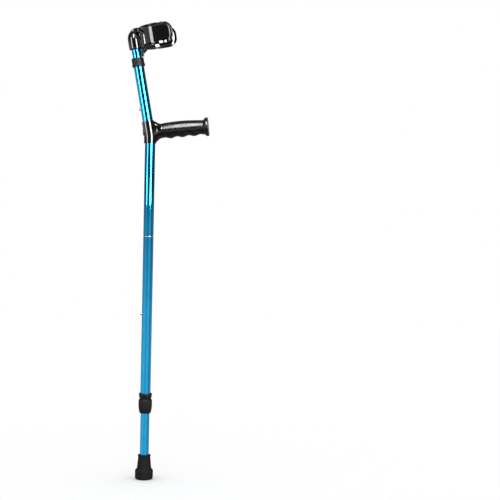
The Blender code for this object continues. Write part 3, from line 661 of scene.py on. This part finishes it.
foot = turned("rubber_foot", foot_outline, False, sides=192, shape=foot_ribs)
fit(foot, "leg", rubber(), "black_rubber", "ferrule")

# ---- Grip clamp ----------------------------------------------------------------------------------
# Two glossy ABS halves wrapped on the shaft, drawn together by a socket-head bolt. The front half swells into
# a trumpet root and the grip's stem, and the rear half has a round boss for the bolt's head.


def gloss_abs():
    """ABS from a polished mould: deep black with a mirror skin, a slight 4 mm ripple, and a few fine hairline
    scuffs that catch the light."""
    mirror_skin = {"IOR": 1.54, "Coat_Weight": 0.6, "Coat_Roughness": 0.02}
    made, tree, _ = material("gloss_abs", "#0B0B0C", 0.0, 0.05, **mirror_skin)
    place = add(tree, "TexCoord", {})["Object"]
    ripple = add(tree, "TexNoise", {"Scale": 250.0, "Detail": 1.0}, {"Vector": place})["Fac"]
    drawn_out = {"Rotation": (0.4, 0.2, 0.9), "Scale": (60.0, 2500.0, 700.0)}
    hairs_at = add(tree, "Mapping", drawn_out, {"Vector": place})[0]
    hairs = add(tree, "TexNoise", {"Scale": 1.0, "Detail": 2.0}, {"Vector": hairs_at})["Fac"]
    shades = [(0.4, "#040404"), (0.7, "#080809")]
    return surface_finish(made, ripple, shades, hairs, (0.05, 0.12, 0.62, 0.80), ripple, 0.02, 0.001)


SLEEVE_LOW, SLEEVE_HIGH, SLEEVE, CLEAR, SLEEVE_EDGE = 0.7242, 0.0322, 0.0132, 0.0113, 0.0004
ROOM_LOW, ROOM_HIGH = 0.7042, 0.0622


def ovals(x, up, down, half_width, sides=96):
    """Rings square to X: (x, width cos a, reach sin a), where the reach is up above X and down below it."""
    angle = np.arange(sides) * 2 * np.pi / sides
    shape = np.shape(x)
    x, up, down, half_width = (np.broadcast_to(size, shape)[:, None] for size in (x, up, down, half_width))
    reach = np.where(np.sin(angle) > 0, up, down)
    return np.stack([x + 0 * angle, half_width * np.cos(angle), reach * np.sin(angle)], axis=-1)


def half_sleeve(name, middle):
    """Half a sleeve: an arc 2.4 degrees short of half round, carried on the shaft, its outer edges eased."""
    half = np.pi / 2 - np.radians(1.2)
    centres, tilts, end_ease = eased_line(*shaft_line(SLEEVE_LOW, SLEEVE_HIGH, 8), SLEEVE_EDGE)
    lip = SLEEVE_EDGE / SLEEVE
    side_ease = np.zeros((64, 1))
    side_ease[[0, -1]] = SLEEVE_EDGE
    angle = np.concatenate([[-half], np.linspace(-half + lip, half - lip, 62), [half]]) + middle
    unit = np.stack([np.cos(angle), np.sin(angle)], axis=-1)
    outer = swept(unit * (SLEEVE - side_ease - end_ease), centres, tilts)
    inner = swept(unit * CLEAR + 0 * end_ease, centres, tilts)
    return surface(name, np.concatenate([outer, inner[:, ::-1]], axis=1), capped=(0, -1))


def shaft_room():
    """The room that the shaft takes through the clamp, 0.3 mm clear of it."""
    centres, tilts = shaft_line(ROOM_LOW, ROOM_HIGH, 8)
    section = arc_of(CLEAR, 0.01, 2 * np.pi + 0.01, 96, endpoint=False)[None]
    return surface("room", swept(section, centres, tilts), capped=(0, -1))


gloss_black = gloss_abs()
GRIP_START, STEM, STEM_END, STEM_BORE, BOLT_SEAT = 0.0273, 0.0100, 0.1198, 0.0065, 0.0300

# The root is ovals square to the grip: they swell towards the shaft by a bell curve, and end in a small lip.
x = np.linspace(0.0040, GRIP_START - 0.0008, 40)
swell = np.exp(-((np.clip(x - 0.0120, 0, 1) / 0.0056) ** 1.5))
flare = 0.0030 * swell**0.8 + 0.0020 * np.clip((0.0120 - x) / 0.008, 0, 1)
root = ovals(x, 0.0153 + 0.0062 * swell, 0.0155 + 0.0070 * swell, 0.0140 - flare)
lip_x, lip_up, lip_down, lip_width = np.array([
    (0.0268, 0.0152, 0.0154, 0.0139), (0.0270, 0.0149, 0.0151, 0.0136), (0.0270, STEM, STEM, STEM),
]).T
lip = ovals(lip_x, lip_up, lip_down, lip_width)
stem = ovals(np.array([0.0275, 0.1193, STEM_END]), *[np.array([STEM, STEM, 0.0097])] * 3)
stem_bore = ovals(np.array([STEM_END, BOLT_SEAT, BOLT_SEAT]), *[np.array([STEM_BORE, STEM_BORE, 0.0001])] * 3)
front = surface("root", carried(np.concatenate([root, lip, stem, stem_bore]), GRIP), capped=(0, -1))
carve(front, shaft_room())
front = joined("front_clamp_half", half_sleeve("sleeve", 0.0), front)
fit(front, "upper_section", gloss_black, "gloss_black", "handle_bracket")

boss_outline = [
    (0.0001, -0.0133, 0.0), (0.0056, -0.0133, 0.0), (0.0056, -0.0156, 0.0003), (0.0070, -0.0156, 0.0004),
    (0.0085, -0.0146, 0.0008), (0.0085, -0.0110, 0.0), (0.0001, -0.0110, 0.0),
]
boss = turned("boss", boss_outline, False, GRIP, True)
carve(boss, shaft_room())
rear = joined("rear_clamp_half", half_sleeve("sleeve", np.pi), boss)
fit(rear, "upper_section", gloss_black, "gloss_black", "clamp_shell")

bolt_outline = [
    (0.0001, -0.0142, 0.0), (0.0022, -0.0142, 0.0), (0.0022, -0.0154, 0.0002), (0.0042, -0.0154, 0.0004),
    (0.0051, -0.0147, 0.0004), (0.0051, -0.0136, 0.0), (0.0030, -0.0136, 0.0), (0.0030, 0.0375, 0.0003),
    (0.0001, 0.0375, 0.0),
]


def hexagon_socket(radius, height, angle):
    """Brings the socket's wall in to a hexagon: radius cos 30 / cos(angle from the nearest flat)."""
    from_flat = (angle + np.pi / 6) % (np.pi / 3) - np.pi / 6
    inside = (height < -0.0141) & (np.abs(radius - 0.0022) < 0.0003)
    return np.where(inside, radius * np.cos(np.pi / 6) / np.cos(from_flat), radius)


bolt = turned("socket_head_bolt", bolt_outline, False, GRIP, True, 96, hexagon_socket)
fit(bolt, "upper_section", plated, "bright_steel", "clamp_bolt")

# ---- Grip ----------------------------------------------------------------------------------------
# A thick soft PVC sleeve pushed on the stem: a swelled top, four finger grooves below, a neck, and an end
# flange with a grey cap pressed in it.


def satin_pvc():
    """Moulded soft PVC: near-black with a broad satin sheen, a 0.6 mm leather-like grain, and a slightly
    brighter, polished palm where hands rub it."""
    made, tree, _ = material("satin_pvc", "#0C0C0D", 0.0, 0.26)
    place = add(tree, "TexCoord", {})["Object"]
    leather = {"Scale": 1700.0, "feature": "SMOOTH_F1"}
    grain = add(tree, "TexVoronoi", leather, {"Vector": place})["Distance"]
    wear = add(tree, "TexNoise", {"Scale": 60.0, "Detail": 5.0}, {"Vector": place})["Fac"]
    shades = [(0.35, "#070708"), (0.75, "#0E0E10")]
    return surface_finish(made, wear, shades, wear, (0.18, 0.30, 0.3, 0.7), grain, 0.06)


GRIP_NECK, CAP_SEAT, FINGER = 0.1138, 0.1220, 0.0254

# Ovals square to the grip: the top swells by half a sine wave, and the bottom waves once a finger's width.
x = np.linspace(GRIP_START, GRIP_NECK, 180)
along = (x - GRIP_START) / (GRIP_NECK - GRIP_START)
up = 0.0160 + 0.0022 * np.sin(np.pi * along) - 0.0010 * along
down = 0.0165 + 0.0014 * np.cos(2 * np.pi * (x - 0.0430) / FINGER) - 0.0006 * along
half_width = 0.0140 + 0.0012 * np.sin(np.pi * along)
start_lip = np.clip(x - GRIP_START, 0, 0.0006)
ease = 0.0006 - np.sqrt(0.0006**2 - (0.0006 - start_lip) ** 2)
body = ovals(x, up - ease, down - ease, half_width - ease)
flange = rounded([
    (0.1143, 0.0156, 0.0), (0.1163, 0.0168, 0.0008), (0.1190, 0.0197, 0.0010), (0.1208, 0.0200, 0.0008),
    (0.1248, 0.0200, 0.0010), (0.1248, 0.0168, 0.0004), (CAP_SEAT, 0.0168, 0.0), (CAP_SEAT, 0.0103, 0.0),
    (GRIP_START, 0.0103, 0.0),
], False)
flange_rings = ovals(flange[:, 0], flange[:, 1], flange[:, 1], flange[:, 1])
grip = surface("finger_grip", carried(np.concatenate([body, flange_rings]), GRIP), loop=True)
fit(grip, "upper_section", satin_pvc(), "soft_grip", "grip_sleeve")


def satin_cap():
    """Grey polypropylene with a satin tool finish: a smooth mid grey with faint flow lines 3 mm apart."""
    made, tree, _ = material("satin_grey_polypropylene", "#8E9093", 0.0, 0.38)
    place = add(tree, "TexCoord", {})["Object"]
    swirled = {"Scale": 300.0, "Detail": 4.0, "Distortion": 0.8}
    flow = add(tree, "TexNoise", swirled, {"Vector": place})["Fac"]
    shades = [(0.35, "#85878A"), (0.70, "#989A9D")]
    return surface_finish(made, flow, shades, flow, (0.30, 0.46), flow, 0.08)


cap_outline = [
    (0.0001, 0.1078, 0.0), (0.0060, 0.1078, 0.0004), (0.0060, 0.1223, 0.0), (0.0164, 0.1223, 0.0),
    (0.0164, 0.1237, 0.0004), (0.0155, 0.1244, 0.0004), (0.0125, 0.1244, 0.0003), (0.0120, 0.1239, 0.0003),
    (0.0113, 0.1239, 0.0003), (0.0108, 0.1244, 0.0003), (0.0001, 0.1241, 0.0),
]
cap = turned("grip_cap", cap_outline, False, GRIP, True)
fit(cap, "upper_section", satin_cap(), "grey_cap", "grip_end_cap")

# ---- Cuff bracket --------------------------------------------------------------------------------
# One glossy ABS moulding: a domed socket pinned on the cuff tube, a saddle behind the cuff, and a strut down
# the front of the tube. A cross-head screw holds the cuff, the saddle and the tube together.

CUFF_X, CUFF_INSIDE, CUFF_WALL = 0.0575, 0.0410, 0.0030
CUFF_MIDDLE, CUFF_HALF, CUFF_CORNER = 0.2075, 0.0228, 0.0200

socket_outline = [
    (0.0001, 0.2276, 0.0), (0.0035, 0.2273, 0.0012), (0.0062, 0.2257, 0.0018), (0.0100, 0.2215, 0.0020),
    (0.0124, 0.2170, 0.0020), (0.0138, 0.2120, 0.0020), (0.0142, 0.2060, 0.0025), (0.0142, 0.1882, 0.0012),
    (0.0134, 0.1857, 0.0006), (0.0099, 0.1857, 0.0003), (0.0099, 0.2183, 0.0), (0.0001, 0.2183, 0.0),
]
socket = turned("socket", socket_outline, False, FOREARM)
room_radius = CUFF_INSIDE + CUFF_WALL + 0.0015
room_circle = arc_of(room_radius, 0.02, 2 * np.pi + 0.02, 192, endpoint=False) + [CUFF_X, 0.0]
room_rings = np.array([np.insert(room_circle, 2, height, axis=1) for height in (0.1700, 0.2500)])
carve(socket, surface("room", carried(room_rings, FOREARM), capped=(0, -1)))

# The crown fills the dip between the dome and the saddle. Its sections are squared circles, the square root
# of a circle's sine and cosine, and they widen and rise from the dome's top to the saddle.
CROWN_START, CROWN_END, CROWN_SEAT = -0.0045, 0.0122, 0.2240
crown_x = np.linspace(CROWN_START, CROWN_END, 24)[:, None]
crown_top = 0.2312 - 0.0050 * (1 - np.clip((crown_x - CROWN_START) / 0.0100, 0, 1)) ** 2
crown_width = 0.0035 + 0.0060 * np.sqrt((crown_x - CROWN_START) / (CROWN_END - CROWN_START))
angle = np.arange(64) * 2 * np.pi / 64
across, rise = (np.sign(value) * np.abs(value) ** 0.5 for value in (np.cos(angle), np.sin(angle)))
crown_z = CROWN_SEAT + rise * np.where(rise > 0, crown_top - CROWN_SEAT, 0.0040)
crown_grid = np.stack([crown_x + 0 * crown_z, crown_width * across, crown_z], axis=-1)
crown = surface("crown", carried(crown_grid, FOREARM), capped=(0, -1))

# The saddle is a ten-sided section, with its corners eased, carried round the cuff's back through 45
# degrees each way. Its upper and lower edges are parabolas, and it thins out at both ends.
turn = np.linspace(-1.0, 1.0, 61)
end = np.sqrt(np.clip(1 - ((np.abs(turn) - 0.96) / 0.04).clip(0) ** 2, 0.02, 1))
low, high = 0.1732 + 0.0170 * turn**2, 0.2305 - 0.0165 * turn**2
middle, half = (low + high) / 2, (high - low) / 2 - 0.002 * (1 - end)
thickness, ease = 0.0016, 0.0010
outline = np.array([
    (-1, -1, 0, 1), (-1, 1, 0, -1), (-0.7, 1, 0, -0.3), (0.0, 1, 0, 0), (0.7, 1, 0, -0.3), (1, 1, 0, -1),
    (1, -1, 0, 1), (0.7, -1, 0, 0.3), (0.0, -1, 0, 0), (-0.7, -1, 0, 0.3),
])
radius = CUFF_INSIDE + CUFF_WALL + 0.0003 + thickness + outline[:, 0] * thickness * end[:, None]
height = middle[:, None] + outline[:, 1] * half[:, None] + outline[:, 3] * ease
angle = np.radians(45) * turn[:, None]
saddle_grid = np.stack([CUFF_X - radius * np.cos(angle), radius * np.sin(angle), height], axis=-1)
saddle = surface("saddle", carried(saddle_grid, FOREARM), capped=(0, -1))

# The strut is a rounded bar up the front of the tube, thick at its foot and thinned by a smooth step above.
STRUT_FOOT, STRUT_TOP = 0.1688, 0.1915
strut_height = np.linspace(STRUT_FOOT, STRUT_TOP, 30)
taper = np.clip((strut_height - 0.1735) / 0.0060, 0, 1)
taper = taper * taper * (3 - 2 * taper)
foot_ease = np.sqrt(np.clip(1 - (1 - (strut_height - STRUT_FOOT) / 0.0012).clip(0) ** 2, 0.1, 1))
front_x, back_x = 0.0150 - 0.0032 * taper, 0.0102 + 0.0004 * taper
outline = rounded([(-1, -1, 0.3), (1, -1, 0.5), (1, 1, 0.5), (-1, 1, 0.3)], True)
strut_x = (front_x + back_x)[:, None] / 2 + outline[:, 0] * ((front_x - back_x) * foot_ease)[:, None] / 2
strut_y = outline[:, 1] * ((0.0060 + 0.0005 * taper) * foot_ease)[:, None]
strut_grid = np.stack([strut_x, strut_y, strut_height[:, None] + 0 * strut_x], axis=-1)
strut = surface("strut", carried(strut_grid, FOREARM), capped=(0, -1))
carrier = joined("cuff_carrier", socket, crown, saddle, strut)
fit(carrier, "cuff_section", gloss_black, "gloss_black", "cuff_bracket")

screw_seat = CUFF_X - CUFF_INSIDE + 0.0008
screw_outline = [
    (0.0001, 0.0022, 0.0), (0.0025, 0.0022, 0.0003), (0.0025, screw_seat, 0.0), (0.0052, screw_seat, 0.0002),
    (0.0052, screw_seat + 0.0010, 0.0004), (0.0040, screw_seat + 0.0020, 0.0006),
    (0.0018, screw_seat + 0.0024, 0.0004), (0.0001, screw_seat + 0.0024, 0.0),
]
screw = turned("cross_head_screw", screw_outline, False, Matrix.Translation((0.0, 0.0, CUFF_SCREW)), True)
recess = screw_seat + 0.0010
for half_y, half_z in ((0.0022, 0.0004), (0.0004, 0.0022)):
    low_corner = (recess, -half_y, CUFF_SCREW - half_z)
    carve(screw, box_cutter(low_corner, (recess + 0.0030, half_y, CUFF_SCREW + half_z)))
screw.data.transform(FOREARM)
fit(screw, "cuff_section", plated, "bright_steel", "cuff_screw")

# ---- Cuff ----------------------------------------------------------------------------------------
# An open ring of thin glossy ABS round the forearm. Its arms flare outward to round ends, and a low rolled
# lip runs along both edges and round the ends.

TURN, FLARE, FLARE_RADIUS, ROLL, ROLL_WIDTH = np.radians(100), np.radians(45), 0.0300, 0.0012, 0.0070


def cuff_half():
    """The middle line from the back to one end, seen from above: points, outward directions, and the length
    left to the end. It is an arc round the forearm through TURN, then one of FLARE_RADIUS the other way."""
    middle = CUFF_INSIDE + CUFF_WALL / 2
    angle = np.linspace(0.0, TURN, 70)
    outward = np.stack([-np.cos(angle), np.sin(angle)], axis=-1)
    ring = np.array([CUFF_X, 0.0]) + outward * middle
    whole = FLARE_RADIUS * FLARE
    bend = FLARE * (1 - (1 - np.linspace(0.0, 1.0, 50)[1:]) ** 1.6)
    facing, onward = outward[-1], np.array([outward[-1][1], -outward[-1][0]])
    arm = ring[-1] + FLARE_RADIUS * (np.sin(bend)[:, None] * onward + (1 - np.cos(bend))[:, None] * facing)
    arm_facing = np.cos(bend)[:, None] * facing - np.sin(bend)[:, None] * onward
    left = np.concatenate([middle * (TURN - angle) + whole, FLARE_RADIUS * (FLARE - bend)])
    return np.concatenate([ring, arm]), np.concatenate([outward, arm_facing]), left


# The whole middle line, its half height, cut back by the round ends, and its half thickness, thinned there.
points, facing, left = cuff_half()
mirror = np.array([1.0, -1.0])
points = np.concatenate([points[:0:-1] * mirror, points])
facing = np.concatenate([facing[:0:-1] * mirror, facing])
left = np.concatenate([left[:0:-1], left])
cut = CUFF_CORNER - np.minimum(left, CUFF_CORNER)
reach = CUFF_HALF - CUFF_CORNER + np.sqrt(CUFF_CORNER**2 - cut**2)
thin = CUFF_WALL / 2 * np.sqrt(np.clip(1 - (1 - left / 0.0015).clip(0) ** 2, 0.05, 1))

# The section goes up the outer wall, over a half-round rim, down the inner wall and under. Near any edge both
# walls move outward by a smooth step of the distance from it, which makes the rolled lip.
climb = np.linspace(-1.0, 1.0, 49)
climb = np.sign(climb) * (1 - (1 - np.abs(climb)) ** 1.5)
rim = np.pi * np.linspace(0.0, 1.0, 9)[1:-1]
side_share = np.concatenate([np.ones(49), np.cos(rim), -np.ones(49), -np.cos(rim)])
climb_share = np.concatenate([climb, np.ones(7), climb[::-1], -np.ones(7)])
past_rim = np.concatenate([np.zeros(49), np.sin(rim), np.zeros(49), -np.sin(rim)])
rise = climb_share * (reach[:, None] - CUFF_WALL / 2) + past_rim * CUFF_WALL / 2
to_edge, to_end = CUFF_HALF - np.abs(rise), left[:, None] + 0 * rise
in_corner = (to_edge < CUFF_CORNER) & (to_end < CUFF_CORNER)
from_corner = CUFF_CORNER - np.hypot(CUFF_CORNER - to_edge, CUFF_CORNER - to_end)
inward = np.clip(np.where(in_corner, from_corner, np.minimum(to_edge, to_end)) / ROLL_WIDTH, 0, 1)
roll_out = ROLL * (1 - inward * inward * (3 - 2 * inward))
outward_by = side_share * thin[:, None] + roll_out
plan = points[:, None] + facing[:, None] * outward_by[..., None]
cuff_grid = np.concatenate([plan, CUFF_MIDDLE + rise[..., None]], axis=-1)
cuff = surface("forearm_cuff", carried(cuff_grid, FOREARM), capped=(0, -1))
drill(cuff, SCREW_WAY, 0.010, 0.020, [CUFF_SCREW], FOREARM)
fit(cuff, "cuff_section", gloss_black, "gloss_black", "cuff")
